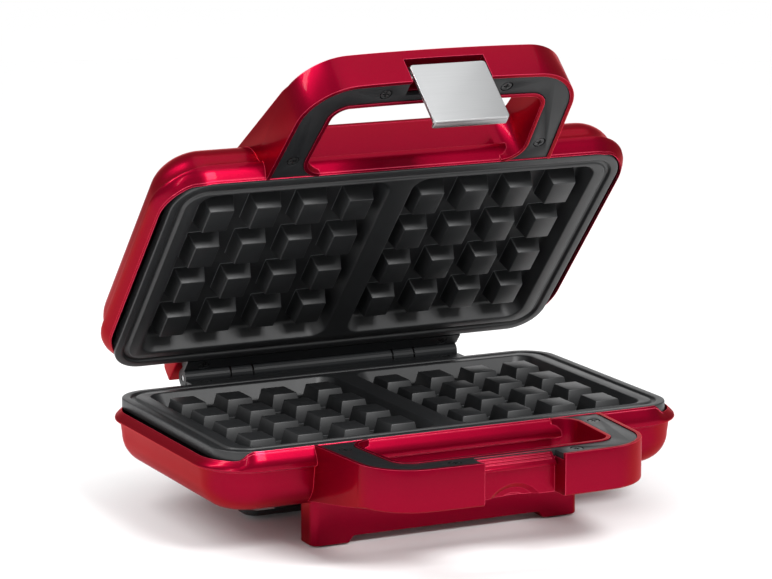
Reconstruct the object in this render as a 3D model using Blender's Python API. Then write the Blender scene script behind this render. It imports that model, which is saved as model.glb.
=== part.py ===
"""A two-waffle maker, held part open: base, lid and swinging latch, with the heaters and fittings inside.

Every shape is drawn in the closed position, in plate coordinates: x to the right, y from the handle (-)
to the hinge (+), z = 0 on the plane where the two cooking plates meet. The base reaches down from that
plane and the lid reaches up, so both halves share their functions: depth is the distance from the plane,
and side is -1 for the base and +1 for the lid. Three empties then put the halves and the latch in place.
"""

from math import atan2, cos, pi, radians, sin, tan

import bmesh
import bpy
from mathutils import Vector

# Driving dimensions, in metres and degrees.
BASE, LID = -1, 1
LID_OPEN = 48.1
HINGE_Y = 0.0890
REST_HEIGHT = 0.0525
GAP = 0.0003

PLATE_HALF = 0.1175
PLATE_FRONT = -0.0628
PLATE_BACK = 0.0760
PLATE_CORNER = 0.0170
PLATE_RIM_DEPTH = 0.0056
PLATE_TRAY_DEPTH = 0.0120
OPENING = 0.0004
CELL_DEPTH = 0.0088
CELL_X = (0.0058, 0.1040)
CELL_Y = (-0.0545, 0.0648)
BLOCK_FIRST = (0.01875, -0.0350)
BLOCK_PITCH = (0.02384, 0.0267)
BLOCK_TOP = (0.0122, 0.0152)
BLOCK_DRAFT = 0.0018

FLANGE_HALF = 0.1245
FLANGE_FRONT = -0.0670
FLANGE_BACK = 0.0790
FLANGE_CORNER = 0.0260
FLANGE_BACK_CORNER = 0.0305
FLANGE_TOP = {BASE: 0.0047, LID: 0.0016}
FLANGE_LOW = 0.0085
WALL_INSET = 0.0038
WALL = 0.0025
ROLL_RADIUS = 0.0140
BODY_DEPTH = {BASE: 0.0303, LID: 0.0278}
RAIL_HALF = 0.1080

HANDLE_ROOT = 0.0745
HANDLE_FRONT = 0.0696
HANDLE_SIDE_END = -0.1258
HANDLE_MIDDLE = -0.1293
HANDLE_CORNER = 0.0260
GRIP_DEPTH = {BASE: 0.0200, LID: 0.0186}
HANDLE_ROOT_DEPTH = {BASE: 0.0292, LID: 0.0310}
LEG_START, LEG_END = -0.1080, -0.0620
SHOULDER_BACK = 0.0300
SHOULDER_PROUD = 0.0004
HOLE_BACK = (0.0572, -0.0652)
HOLE_FRONT = (0.0536, -0.1108)
HOLE_MIDDLE = -0.1126
RIM = 0.0019
NOTCH_HALF = 0.0204
NOTCH_BACK = -0.1177
LATCH_Y, LATCH_Z = -0.1242, 0.0078
LATCH_HALF = 0.0193
HOOK_TIP = -0.1223

HINGE_BLOCK_HALF = 0.0750
KNUCKLE = 0.0046
PIN = 0.0015
BUMP_HALF = 0.0775
BUMP_BACK = 0.0990
BUMP_DEPTH = {BASE: (0.0135, 0.0295), LID: (0.0060, 0.0160)}
BUMP_ROUND = 0.0030

FOOT_DEPTH = 0.0518
PLINTH_HALF = 0.0697
PLINTH_Y = (-0.0517, -0.0360)
ARCH_DEPTH = 0.0487
ARCH_HALF = 0.0465
REAR_FOOT_X = 0.0600
REAR_FOOT_Y = (0.0560, 0.0720)
FOOT_HALF = 0.0090
FOOT_ROUND = 0.0040
PAD_HALF = 0.0065
PAD_MARGIN = 0.0020
SHIELD_DEPTH = 0.0200
ELEMENT = 0.0032
ELEMENT_DEPTH = PLATE_TRAY_DEPTH + GAP + ELEMENT

RED = ((0.42, 0.004, 0.018), 0.25, 0.35)
BLACK = ((0.018, 0.020, 0.021), 0.45, 0.0)
COATING = ((0.025, 0.027, 0.029), 0.38, 0.2)
BRUSHED = ((0.72, 0.73, 0.73), 0.32, 0.9)
STEEL = ((0.45, 0.45, 0.46), 0.35, 1.0)
SHEET = ((0.62, 0.63, 0.64), 0.30, 1.0)
RUBBER = ((0.015, 0.015, 0.015), 0.85, 0.0)
IVORY = ((0.75, 0.72, 0.62), 0.55, 0.0)
LAMP_RED = ((0.60, 0.02, 0.02), 0.12, 0.0)
LAMP_GREEN = ((0.03, 0.42, 0.08), 0.12, 0.0)

for old in list(bpy.data.objects):
    bpy.data.objects.remove(old)
parts = bpy.data.collections.new("waffle_maker")
bpy.context.scene.collection.children.link(parts)


def material(name, finish):
    colour, roughness, metallic = finish
    made = bpy.data.materials.new(name)
    made.use_nodes = True
    shader = made.node_tree.nodes["Principled BSDF"]
    shader.inputs["Base Color"].default_value = (*colour, 1)
    shader.inputs["Roughness"].default_value = roughness
    shader.inputs["Metallic"].default_value = metallic
    return made


def mesh_object(name, mesh):
    made = bpy.data.objects.new(name, mesh)
    parts.objects.link(made)
    return made


def outline(corners, steps=5):
    """The points of a closed outline whose corners (x, y, radius) are rounded with arcs."""
    points = []
    for i, (x, y, radius) in enumerate(corners):
        corner = Vector((x, y))
        before = (Vector(corners[i - 1][:2]) - corner).normalized()
        after = (Vector(corners[(i + 1) % len(corners)][:2]) - corner).normalized()
        if not radius:
            points.append((x, y))
            continue
        half = before.angle(after) / 2
        middle = corner + (before + after).normalized() * radius / sin(half)
        start = corner + before * radius / tan(half) - middle
        turn = start.angle_signed(corner + after * radius / tan(half) - middle)
        first = atan2(start.y, start.x)
        for k in range(steps + 1):
            angle = first - turn * k / steps
            points.append((middle.x + radius * cos(angle), middle.y + radius * sin(angle)))
    return points


def inset(corners, distance):
    """The corners of a counter-clockwise outline moved inwards; a negative distance moves them out."""
    moved = []
    for i, (x, y, radius) in enumerate(corners):
        corner = Vector((x, y))
        along = (corner - Vector(corners[i - 1][:2])).normalized()
        onward = (Vector(corners[(i + 1) % len(corners)][:2]) - corner).normalized()
        normals = Vector((-along.y, along.x)), Vector((-onward.y, onward.x))
        shift = (normals[0] + normals[1]) * distance / (1 + normals[0].dot(normals[1]))
        moved.append((x + shift.x, y + shift.y, max(radius - distance, 0.0004) if radius else 0))
    return moved


def rectangle(x0, x1, y0, y1, radius=0.0):
    return [(x0, y0, radius), (x1, y0, radius), (x1, y1, radius), (x0, y1, radius)]


def slab(name, side, depths, *outlines):
    """A flat piece between two depths; outlines after the first are holes in it."""
    curve = bpy.data.curves.new(name, "CURVE")
    curve.dimensions = "2D"
    curve.fill_mode = "BOTH"
    curve.extrude = abs(depths[1] - depths[0]) / 2
    for points in outlines:
        spline = curve.splines.new("POLY")
        spline.points.add(len(points) - 1)
        for point, (x, y) in zip(spline.points, points):
            point.co = (x, y, 0, 1)
        spline.use_cyclic_u = True
    return curve_mesh(name, curve, (0, 0, side * (depths[0] + depths[1]) / 2))


def curve_mesh(name, curve, shift=(0, 0, 0)):
    """The closed mesh of a curve, moved to its place."""
    drawn = bpy.data.objects.new(name + "_curve", curve)
    parts.objects.link(drawn)
    seen = drawn.evaluated_get(bpy.context.evaluated_depsgraph_get())
    mesh = bpy.data.meshes.new_from_object(seen)
    bpy.data.objects.remove(drawn)
    tidy = bmesh.new()
    tidy.from_mesh(mesh)
    bmesh.ops.remove_doubles(tidy, verts=tidy.verts, dist=1e-6)
    bmesh.ops.translate(tidy, verts=tidy.verts, vec=shift)
    bmesh.ops.recalc_face_normals(tidy, faces=tidy.faces)
    tidy.to_mesh(mesh)
    tidy.free()
    mesh.name = name
    return mesh_object(name, mesh)


def loft(name, side, rings):
    """A closed solid through rings of equal point count, each given as (depth, points)."""
    shape = bmesh.new()
    rows = [[shape.verts.new((x, y, side * depth)) for x, y in points] for depth, points in rings]
    for low, high in zip(rows, rows[1:]):
        for i in range(len(low)):
            shape.faces.new((low[i - 1], low[i], high[i], high[i - 1]))
    shape.faces.new(rows[0])
    shape.faces.new(rows[-1])
    bmesh.ops.recalc_face_normals(shape, faces=shape.faces)
    mesh = bpy.data.meshes.new(name)
    shape.to_mesh(mesh)
    shape.free()
    return mesh_object(name, mesh)


def box(name, low, high):
    shape = bmesh.new()
    bmesh.ops.create_cube(shape, size=1)
    size = Vector(high) - Vector(low)
    bmesh.ops.scale(shape, verts=shape.verts, vec=size)
    bmesh.ops.translate(shape, verts=shape.verts, vec=Vector(low) + size / 2)
    mesh = bpy.data.meshes.new(name)
    shape.to_mesh(mesh)
    shape.free()
    return mesh_object(name, mesh)


def rod(name, start, end, radius, sides=20, end_radius=None):
    """A round bar or cone between two points."""
    start, end = Vector(start), Vector(end)
    shape = bmesh.new()
    bmesh.ops.create_cone(
        shape,
        cap_ends=True,
        segments=sides,
        radius1=radius,
        radius2=radius if end_radius is None else end_radius,
        depth=(end - start).length,
    )
    turn = (end - start).to_track_quat("Z", "Y").to_matrix().to_4x4()
    bmesh.ops.transform(shape, verts=shape.verts, matrix=turn)
    bmesh.ops.translate(shape, verts=shape.verts, vec=(start + end) / 2)
    mesh = bpy.data.meshes.new(name)
    shape.to_mesh(mesh)
    shape.free()
    return mesh_object(name, mesh)


def prism(name, profile, x0, x1):
    """A profile of (y, z) points, drawn out along x."""
    shape = bmesh.new()
    face = shape.faces.new([shape.verts.new((x0, y, z)) for y, z in profile])
    drawn = bmesh.ops.extrude_face_region(shape, geom=[face])["geom"]
    moved = [item for item in drawn if isinstance(item, bmesh.types.BMVert)]
    bmesh.ops.translate(shape, verts=moved, vec=(x1 - x0, 0, 0))
    bmesh.ops.recalc_face_normals(shape, faces=shape.faces)
    mesh = bpy.data.meshes.new(name)
    shape.to_mesh(mesh)
    shape.free()
    return mesh_object(name, mesh)


def combine(target, tool, operation):
    modifier = target.modifiers.new("combine", "BOOLEAN")
    modifier.operation = operation
    modifier.object = tool
    with bpy.context.temp_override(object=target, active_object=target):
        bpy.ops.object.modifier_apply(modifier=modifier.name)
    bpy.data.objects.remove(tool)


def cut(target, *tools):
    for tool in tools:
        combine(target, tool, "DIFFERENCE")


def join(target, *tools):
    for tool in tools:
        combine(target, tool, "UNION")


def finish(piece, frame, look, smooth=32):
    """Gives the piece its material and hangs it on the empty of its body."""
    piece.data.materials.clear()
    piece.data.materials.append(material(piece.name, look))
    piece.data.shade_smooth()
    piece.data.set_sharp_from_angle(angle=radians(smooth))
    piece.parent = frame
    piece.location = -Vector(frame["drawn_at"])
    return piece


def plate_corners():
    return rectangle(-PLATE_HALF, PLATE_HALF, PLATE_FRONT, PLATE_BACK, PLATE_CORNER)


def flange_corners():
    corners = rectangle(-FLANGE_HALF, FLANGE_HALF, FLANGE_FRONT, FLANGE_BACK, FLANGE_CORNER)
    return corners[:2] + [(x, y, FLANGE_BACK_CORNER) for x, y, _ in corners[2:]]


def handle_corners():
    """The handle's outside, bowed forward along the crossbar, with its root inside the body."""
    root = -0.0500
    return [
        (-HANDLE_ROOT, root, 0),
        (-HANDLE_ROOT, FLANGE_FRONT + 0.0040, 0),
        (-HANDLE_FRONT, HANDLE_SIDE_END, HANDLE_CORNER),
        (0, HANDLE_MIDDLE, 0.9),
        (HANDLE_FRONT, HANDLE_SIDE_END, HANDLE_CORNER),
        (HANDLE_ROOT, FLANGE_FRONT + 0.0040, 0),
        (HANDLE_ROOT, root, 0),
    ]


def hole_corners():
    """The finger hole through the handle."""
    return [
        (-HOLE_BACK[0], HOLE_BACK[1], 0.010),
        (-HOLE_FRONT[0], HOLE_FRONT[1], 0.008),
        (0, HOLE_MIDDLE, 0.9),
        (HOLE_FRONT[0], HOLE_FRONT[1], 0.008),
        (HOLE_BACK[0], HOLE_BACK[1], 0.010),
    ]


def body_rings(inner, side):
    """Rings of the shell's outside, or of its inside, from the flange to the rolled bottom edge."""
    wall = WALL_INSET + (WALL if inner else 0)
    roll = ROLL_RADIUS - (WALL if inner else 0)
    floor = BODY_DEPTH[side] - (WALL if inner else 0)
    flange = flange_corners()
    top = FLANGE_TOP[side]
    if inner:
        rings = [(top, wall)]
    else:
        rings = [(top, 0), (FLANGE_LOW, 0), (FLANGE_LOW + 0.0004, wall)]
    steps = 4
    for k in range(steps + 1):
        angle = pi / 2 * k / steps
        rings.append((floor - roll * (1 - sin(angle)), wall + 0.0006 + roll * (1 - cos(angle))))
    return [(depth, outline(inset(flange, distance))) for depth, distance in rings]


def insert_corners(gap):
    """The outer edge of the handle's inlay, notched for the latch; with no gap, the edge of its seat."""
    outer = inset(handle_corners(), RIM + gap)
    root_x = outer[1][0]
    root_y = PLATE_FRONT - OPENING - GAP if gap else PLATE_FRONT
    notch = NOTCH_BACK + gap
    across = NOTCH_HALF + gap
    front = HANDLE_MIDDLE + RIM + gap
    return [
        (root_x, root_y, 0),
        (outer[2][0], outer[2][1], HANDLE_CORNER - RIM - gap),
        (-across, front + 0.0009, 0),
        (-across, notch, 0),
        (across, notch, 0),
        (across, front + 0.0009, 0),
        (outer[4][0], outer[4][1], HANDLE_CORNER - RIM - gap),
        (-root_x, root_y, 0),
    ]


def insert_slab(name, side, depths, gap):
    """The inlay's U, between two depths: its outer edge less the widened finger hole."""
    made = slab(name, side, depths, outline(insert_corners(gap)))
    hole = inset(hole_corners(), -RIM - gap)
    hole[0] = (hole[0][0], hole[0][1] + 0.010, 0)
    hole[-1] = (hole[-1][0], hole[-1][1] + 0.010, 0)
    cut(made, slab("hole", side, (depths[0] - 0.002, depths[1] + 0.002), outline(hole)))
    return made


SCREWS = ((-0.0642, -0.0755), (-0.0310, -0.1190), (0.0310, -0.1190), (0.0642, -0.0755))
INSERT_TOP, INSERT_FLOOR = 0.0007, 0.0036
SCREW_HEAD, SCREW_HEAD_HEIGHT = 0.0026, 0.0011
SCREW_SHANK, SCREW_LENGTH = 0.0013, 0.0110


def housing(side):
    """One painted outer shell with its handle loop, hollow under the plate and inside the grip."""
    name = "lower_housing" if side == BASE else "upper_housing"
    depth = BODY_DEPTH[side]
    grip = GRIP_DEPTH[side]
    root = HANDLE_ROOT_DEPTH[side]
    shell = loft(name, side, body_rings(False, side))
    rail = rectangle(-RAIL_HALF, RAIL_HALF, FLANGE_FRONT, PLATE_FRONT + 0.003)
    join(shell, slab("rail", side, (GAP, FLANGE_LOW - 0.001), outline(rail)))
    bottom, back = max(depth - 0.0002, root), depth - 0.0008
    handle = slab("handle", side, (GAP, bottom), outline(handle_corners(), 7))
    under = [
        (-0.1400, grip),
        (LEG_START, grip),
        (LEG_END, root - SHOULDER_PROUD),
        (SHOULDER_BACK, back - 2 * SHOULDER_PROUD),
        (SHOULDER_BACK, bottom + 0.01),
        (-0.1400, bottom + 0.01),
    ]
    cut(handle, prism("under", [(y, side * z) for y, z in under], -0.09, 0.09))
    join(shell, handle)
    join(shell, shoulder(side, root, back, 0))
    top, bottom = BUMP_DEPTH[side]
    hump = [
        (0.0650, top),
        (BUMP_BACK, top),
        *rounded_back(bottom),
        (0.0650, bottom),
    ]
    join(shell, prism("bump", [(y, side * z) for y, z in hump], -BUMP_HALF, BUMP_HALF))
    if side == BASE:
        add_feet(shell, side)
    cut(shell, loft("cavity", side, body_rings(True, side)))
    cut(shell, shoulder(side, root, back, WALL))
    low, high = (WALL - BUMP_HALF, 0.0650, top + WALL), (BUMP_HALF - WALL, BUMP_BACK - WALL, bottom - WALL)
    cut(shell, box_at("bump_inside", side, low, high))
    if side == BASE:
        inside, outside = (GLAND_X, 0.09, GLAND_Z), (GLAND_X, 0.11, GLAND_Z)
        cut(shell, rod("gland_hole", inside, outside, GLAND_NECK + GAP, 20))
    opening = outline(inset(plate_corners(), -OPENING))
    cut(shell, slab("opening", side, (-0.002, PLATE_RIM_DEPTH + 0.0004), opening))
    half = HINGE_BLOCK_HALF + GAP
    cut(shell, box_at("block_seat", side, (-half, 0.0740, -0.002), (half, 0.1010, 0.0060)))
    cut(shell, slab("hole", side, (-0.002, 0.050), outline(hole_corners(), 6)))
    cut_handle_inside(shell, side)
    return shell


def shoulder(side, front, back, wall):
    """The wedge that carries the handle's root back into the shell; with a wall, the hollow inside it."""
    end = SHOULDER_BACK
    if wall:
        start, top = HOLE_BACK[1] + wall, FLANGE_LOW + wall
    else:
        start, top = FLANGE_FRONT, FLANGE_LOW - 0.001
    profile = [
        (start, top),
        (start, front - wall),
        (LEG_END, front - wall),
        (end - wall, back - wall),
        (end - wall, top),
    ]
    half = HANDLE_ROOT - 0.0015 - wall
    return prism("shoulder", [(y, side * z) for y, z in profile], -half, half)


def rounded_back(bottom):
    """The bump's outer back edge, as points of a quarter round."""
    middle = (BUMP_BACK - BUMP_ROUND, bottom - BUMP_ROUND)
    steps = 4
    angles = [pi / 2 * k / steps for k in range(steps + 1)]
    return [(middle[0] + BUMP_ROUND * cos(a), middle[1] + BUMP_ROUND * sin(a)) for a in angles]


def box_at(name, side, low, high):
    """A box given by depths instead of z."""
    z = sorted((side * low[2], side * high[2]))
    return box(name, (low[0], low[1], z[0]), (high[0], high[1], z[1]))


def cut_handle_inside(shell, side):
    """The hollow legs and crossbar, the seat of the inlay, the latch notch and the screw bosses."""
    grip = GRIP_DEPTH[side]
    cut(shell, insert_slab("seat", side, (-0.002, INSERT_FLOOR), 0))
    ledge = 0.0012
    outer = inset(handle_corners(), RIM + ledge)
    keep = NOTCH_HALF + 0.0026
    hole = inset(hole_corners(), -RIM - ledge)
    for sign in (-1, 1):
        middle = [
            (sign * keep, HANDLE_MIDDLE + RIM + ledge + 0.0012, 0),
            (sign * keep, HOLE_MIDDLE - RIM - ledge, 0),
            (hole[3][0] * sign, hole[3][1], 0.008),
            (-outer[1][0] * sign - 0.012 * sign, FLANGE_FRONT - 0.0020, 0),
            (-outer[1][0] * sign, FLANGE_FRONT - 0.0020, 0),
            (outer[4][0] * sign, outer[4][1], HANDLE_CORNER - RIM - ledge),
        ]
        trough = slab("trough", side, (0, grip - WALL), outline(middle if sign > 0 else middle[::-1]))
        for x, y in SCREWS:
            if x * sign > 0:
                cut(trough, rod("boss", (x, y, 0), (x, y, side * 0.05), 0.0032, 16))
        cut(shell, trough)
    for x, y in SCREWS:
        hole = SCREW_SHANK + 0.0002
        cut(shell, rod("screw_hole", (x, y, 0), (x, y, side * (INSERT_TOP + SCREW_LENGTH + 0.001)), hole, 12))
    if side == BASE:
        cut_catch(shell)
    else:
        low = (-NOTCH_HALF, -0.1400, -0.002)
        cut(shell, box_at("notch", side, low, (NOTCH_HALF, NOTCH_BACK, 0.0136)))
        pin = NOTCH_HALF + 0.0024
        at = (LATCH_Y, LATCH_Z)
        cut(shell, rod("pin_hole", (-pin, *at), (pin, *at), PIN + 0.0003, 16))
        for x in LAMPS:
            cut(shell, rod("lamp_hole", (x, LAMP_Y, 0.015), (x, LAMP_Y, 0.040), LAMP + 0.0003, 20))


def cut_catch(shell):
    """The base's notch: an undercut ramp that holds the latch, over a thumb scoop."""
    lip, low, under = -0.1219, -0.0058, -0.0064
    profile = [
        (NOTCH_BACK, 0.002),
        (NOTCH_BACK, -GAP),
        (lip, low),
        (lip, under),
        (NOTCH_BACK, under - 0.0008),
        (NOTCH_BACK, -0.0400),
        (-0.1400, -0.0400),
        (-0.1400, 0.002),
    ]
    cut(shell, prism("notch", profile, -NOTCH_HALF, NOTCH_HALF))
    scoop = 0.0150
    centre = -GRIP_DEPTH[BASE] - scoop + 0.0052
    cut(shell, rod("scoop", (0, -0.1300, centre), (0, NOTCH_BACK + 0.0026, centre), scoop, 40))


def add_feet(shell, side):
    """The front plinth with its raised middle, and two rear feet."""
    top = BODY_DEPTH[side] - 2 * WALL
    front = outline(rectangle(-PLINTH_HALF, PLINTH_HALF, *PLINTH_Y, FOOT_ROUND))
    plinth = slab("plinth", side, (top, FOOT_DEPTH), front)
    low, flare = 0.0600, 0.0035
    arch = [
        (-ARCH_HALF - flare, -low),
        (-ARCH_HALF, -ARCH_DEPTH),
        (ARCH_HALF, -ARCH_DEPTH),
        (ARCH_HALF + flare, -low),
    ]
    shape = prism("arch", arch, -0.05, 0.05)
    turn_to_y(shape, sum(PLINTH_Y) / 2)
    cut(plinth, shape)
    join(shell, plinth)
    for x in (-REAR_FOOT_X, REAR_FOOT_X):
        foot = rectangle(x - FOOT_HALF, x + FOOT_HALF, *REAR_FOOT_Y, FOOT_ROUND)
        join(shell, slab("foot", side, (top, FOOT_DEPTH), outline(foot)))


def turn_to_y(piece, y):
    """Turns a prism drawn along x so that it runs along y, centred at y."""
    for vertex in piece.data.vertices:
        along, across, up = vertex.co
        vertex.co = (across, y + along, up)
    piece.data.update()
    turned = bmesh.new()
    turned.from_mesh(piece.data)
    bmesh.ops.recalc_face_normals(turned, faces=turned.faces)
    turned.to_mesh(piece.data)
    turned.free()


def insert(side):
    """The black inlay of a handle, with counterbored screw holes."""
    made = insert_slab("lower_handle_insert" if side == BASE else "upper_handle_insert", side,
                       (INSERT_TOP, INSERT_FLOOR - GAP), GAP)
    for x, y in SCREWS:
        cut(made, rod("sink", (x, y, 0), (x, y, side * (INSERT_TOP + 0.0014)), SCREW_HEAD + 0.0003, 20))
        cut(made, rod("bore", (x, y, 0), (x, y, side * 0.006), SCREW_SHANK + 0.0002, 12))
    return made


def screw(name, x, y, top, side, length=SCREW_LENGTH):
    """A pan-head screw with a cross recess, driven away from the plane of its head's top."""
    start = (x, y, top)
    made = rod(name, start, (x, y, top + side * SCREW_HEAD_HEIGHT), SCREW_HEAD, 14)
    shank = (x, y, top + side * SCREW_HEAD_HEIGHT / 2), (x, y, top + side * length)
    join(made, rod("shank", *shank, SCREW_SHANK, 8))
    long, wide, deep = SCREW_HEAD * 0.62, 0.0004, 0.0006
    cross = box("cross", (x - long, y - wide, top - deep), (x + long, y + wide, top + deep))
    join(cross, box("cross_bar", (x - wide, y - long, top - deep), (x + wide, y + long, top + deep)))
    cut(made, cross)
    return made


def cooking_plate(side):
    """The cast plate: a rim, two cells with drafted blocks, and a tray behind them with four bosses."""
    name = "lower_cooking_plate" if side == BASE else "upper_cooking_plate"
    edge = plate_corners()
    rings = [
        (GAP, inset(edge, 0.0008)),
        (GAP + 0.0010, edge),
        (PLATE_RIM_DEPTH, edge),
        (PLATE_RIM_DEPTH, inset(edge, 0.0055)),
        (PLATE_TRAY_DEPTH, inset(edge, 0.0075)),
    ]
    plate = loft(name, side, [(depth, outline(corners)) for depth, corners in rings])
    for sign in (-1, 1):
        x0, x1 = sorted((sign * CELL_X[0], sign * CELL_X[1]))
        mouth = rectangle(x0, x1, *CELL_Y, 0.0075)
        rings = [(-0.001, mouth), (GAP, mouth), (CELL_DEPTH, inset(mouth, 0.0030))]
        cell = loft("cell", side, [(depth, outline(corners)) for depth, corners in rings])
        for column in range(4):
            for row in range(4):
                x = sign * (BLOCK_FIRST[0] + column * BLOCK_PITCH[0])
                y = BLOCK_FIRST[1] + row * BLOCK_PITCH[1]
                cut(cell, block(side, x, y))
        cut(plate, cell)
    for x, y in SHIELD_SCREWS:
        deep = SHIELD_DEPTH - GAP
        join(plate, rod("boss", (x, y, side * (PLATE_TRAY_DEPTH - 0.001)), (x, y, side * deep), 0.0040, 16))
        cut(plate, rod("bore", (x, y, side * (deep - 0.0070)), (x, y, side * 0.03), SCREW_SHANK + 0.0002, 12))
    return plate


def block(side, x, y):
    """One drafted block, as the shape that the cell's cutter leaves standing."""
    wide, long = BLOCK_TOP[0] / 2, BLOCK_TOP[1] / 2
    rings = []
    for depth, grow in ((GAP, 0), (CELL_DEPTH + 0.001, BLOCK_DRAFT)):
        corners = rectangle(x - wide - grow, x + wide + grow, y - long - grow, y + long + grow)
        rings.append((depth, [corner[:2] for corner in corners]))
    return loft("block", side, rings)


def heating_element(side):
    """A round tubular heater in one loop behind the plate, with its two terminal pins."""
    name = "lower_heating_element" if side == BASE else "upper_heating_element"
    route = [
        (-0.0220, 0.0560, 0),
        (-0.0860, 0.0560, 0.018),
        (-0.0860, -0.0380, 0.018),
        (0.0860, -0.0380, 0.018),
        (0.0860, 0.0560, 0.018),
        (0.0220, 0.0560, 0),
    ]
    tube = curve_tube(name, outline(route, 4), side * ELEMENT_DEPTH, ELEMENT)
    for sign in (-1, 1):
        inner = (sign * 0.0120, 0.0560, side * ELEMENT_DEPTH)
        outer = (sign * 0.0240, 0.0560, side * ELEMENT_DEPTH)
        join(tube, rod("pin", inner, outer, 0.0013, 10))
    return tube


def curve_tube(name, points, z, radius):
    curve = bpy.data.curves.new(name, "CURVE")
    curve.dimensions = "3D"
    curve.bevel_depth = radius
    curve.bevel_resolution = 2
    curve.use_fill_caps = True
    spline = curve.splines.new("POLY")
    spline.points.add(len(points) - 1)
    for point, place in zip(spline.points, points):
        point.co = (place[0], place[1], z if len(place) == 2 else place[2], 1)
    return curve_mesh(name, curve)


SHIELD_SCREWS = ((-0.0560, -0.0150), (0.0560, -0.0150), (-0.0560, 0.0330), (0.0560, 0.0330))
SHEET_THICK = 0.0008


def heat_shield(side):
    """The pressed reflector dish under the heater, held on the plate's bosses."""
    name = "lower_heat_shield" if side == BASE else "upper_heat_shield"
    dish = rectangle(-0.1000, 0.1000, -0.0470, 0.0640, 0.014)
    floor = SHIELD_DEPTH + SHEET_THICK
    outer = [(0.0140, inset(dish, 0)), (floor, inset(dish, 0.002))]
    inner = [(0.0130, inset(dish, SHEET_THICK)), (SHIELD_DEPTH, inset(dish, 0.002 + SHEET_THICK))]
    made = loft(name, side, [(depth, outline(corners)) for depth, corners in outer])
    cut(made, loft("dish", side, [(depth, outline(corners)) for depth, corners in inner]))
    for x, y in SHIELD_SCREWS:
        cut(made, rod("bore", (x, y, side * 0.018), (x, y, side * 0.024), SCREW_SHANK + 0.0003, 12))
    return made


KNUCKLES = {
    LID: ((-0.0748, -0.0510), (-0.0380, 0.0380), (0.0510, 0.0748)),
    BASE: ((-0.0500, -0.0390), (0.0390, 0.0500)),
}
HINGE_SCREWS = ((-0.0655, 0.0806), (0.0655, 0.0806))


def hinge_block(side):
    """The black strip behind a plate, with the hinge knuckles of its half."""
    name = "lower_hinge_block" if side == BASE else "upper_hinge_block"
    half = HINGE_BLOCK_HALF
    front = PLATE_BACK + 2 * GAP + 0.0003
    made = box_at(name, side, (-half, front, 0.0006), (half, 0.0836, 0.0060 - GAP))
    for x0, x1 in KNUCKLES[side]:
        join(made, box_at("arm", side, (x0, 0.0810, 0.0010), (x1, HINGE_Y, 0.0036)))
        join(made, rod("knuckle", (x0, HINGE_Y, 0), (x1, HINGE_Y, 0), KNUCKLE, 24))
    if side == LID:
        bore = PIN + 0.00008
        for sign in (-1, 1):
            cut(made, rod("bore", (sign * 0.0250, HINGE_Y, 0), (sign * 0.0800, HINGE_Y, 0), bore, 24))
    else:
        cut(made, rod("bore", (-0.0800, HINGE_Y, 0), (0.0800, HINGE_Y, 0), PIN + GAP, 24))
    for x, y in HINGE_SCREWS:
        cut(made, rod("sink", (x, y, 0), (x, y, side * 0.0022), SCREW_HEAD + 0.0003, 20))
        cut(made, rod("bore", (x, y, 0), (x, y, side * 0.012), SCREW_SHANK + 0.0002, 12))
    return made


GLAND_X, GLAND_Z = 0.0550, -0.0215
GLAND_NECK, GLAND_FLANGE, GLAND_BORE = 0.0044, 0.0056, 0.0034


def cord_gland():
    """The rubber grommet in the back of the base that the supply cord comes in through."""
    inside, outside = BUMP_BACK - WALL - GAP, BUMP_BACK + GAP
    made = round_along_y("cord_gland", inside - 0.0018, inside, 0.0053)
    join(made, round_along_y("neck", inside - 0.0009, outside + 0.0009, GLAND_NECK))
    join(made, round_along_y("flange", outside, outside + 0.0018, GLAND_FLANGE))
    cut(made, round_along_y("bore", inside - 0.0040, outside + 0.0040, GLAND_BORE))
    return made


def round_along_y(name, y0, y1, radius):
    return rod(name, (GLAND_X, y0, GLAND_Z), (GLAND_X, y1, GLAND_Z), radius, 20)


def thermostat():
    """The base's bimetal switch: a ceramic drum on a strip, with two blade terminals."""
    y, top = 0.0100, -PLATE_TRAY_DEPTH - GAP
    made = rod("thermostat", (0, y, top), (0, y, top - 0.0056), 0.0075, 20)
    join(made, box("strip", (-0.0160, y - 0.0040, top - 0.0008), (0.0160, y + 0.0040, top)))
    for x in (-0.0035, 0.0035):
        join(made, box("blade", (x - 0.0015, y, top - 0.0046), (x + 0.0015, y + 0.0150, top - 0.0038)))
    return made


def thermal_fuse():
    """The lid's one-shot cut-out: a small metal can between two wire leads."""
    y, z = 0.0100, PLATE_TRAY_DEPTH + 0.0030
    made = rod("thermal_fuse", (-0.0055, y, z), (0.0055, y, z), 0.0020, 14)
    join(made, rod("leads", (-0.0220, y, z), (0.0220, y, z), 0.0006, 8))
    return made


def terminal_block():
    """The moulded block on the base's floor where the cord's cores meet the heater's leads."""
    floor = BODY_DEPTH[BASE] - WALL - GAP
    height, way = 0.0058, 0.0015
    low, high = (-0.0150, 0.0300, -floor), (0.0150, 0.0440, -floor + height)
    made = box("terminal_block", low, high)
    middle = -floor + height / 2
    for x in (-0.0090, 0, 0.0090):
        cut(made, rod("way", (x, 0.02, middle), (x, 0.05, middle), way, 10))
    return made


LAMPS = (-0.0130, 0.0130)
LAMP_Y = -0.0420
LAMP = 0.0040
LAMP_BELOW_ROOT = 0.0009


def lamp_lens(name, x):
    """A clear button that stands a little proud of the lid's shoulder."""
    top = HANDLE_ROOT_DEPTH[LID] - LAMP_BELOW_ROOT
    lens = rod(name, (x, LAMP_Y, top - 0.0060), (x, LAMP_Y, top + 0.0006), LAMP, 20)
    join(lens, rod("dome", (x, LAMP_Y, top + 0.0003), (x, LAMP_Y, top + 0.0016), LAMP, 20, LAMP * 0.7))
    return lens


LATCH_FACES = (-0.1288, -0.1268)
LATCH_ENDS = (-0.0249, 0.0092)
LATCH_BARREL = 0.0030


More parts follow.
